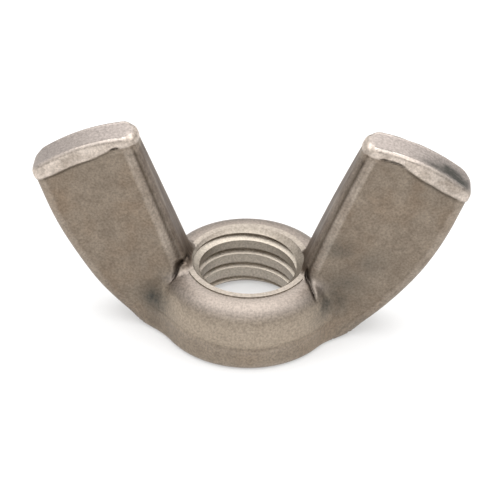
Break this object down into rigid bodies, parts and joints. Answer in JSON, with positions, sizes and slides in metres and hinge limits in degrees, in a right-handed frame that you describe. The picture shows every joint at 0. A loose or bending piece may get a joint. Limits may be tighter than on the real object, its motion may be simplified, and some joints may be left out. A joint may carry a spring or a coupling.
{
  "type": "wing nut",
  "caption": "Forged wing nut with a round boss, a metric threaded bore and leaning wings that are turned by finger and thumb.",
  "frame": {"origin": "centre of the bearing face, on the thread axis", "axes": "+Z along the thread axis from the bearing face towards the wing tips, +X along the span of the wings, +Y through their broad faces"},
  "size_m": [0.0308, 0.013, 0.0157],
  "materials": {
    "forged_steel": "satin, cold forged and tumbled"
  },
  "bodies": {
    "root": {"wing_nut": "forged_steel"}
  },
  "joints": []
}
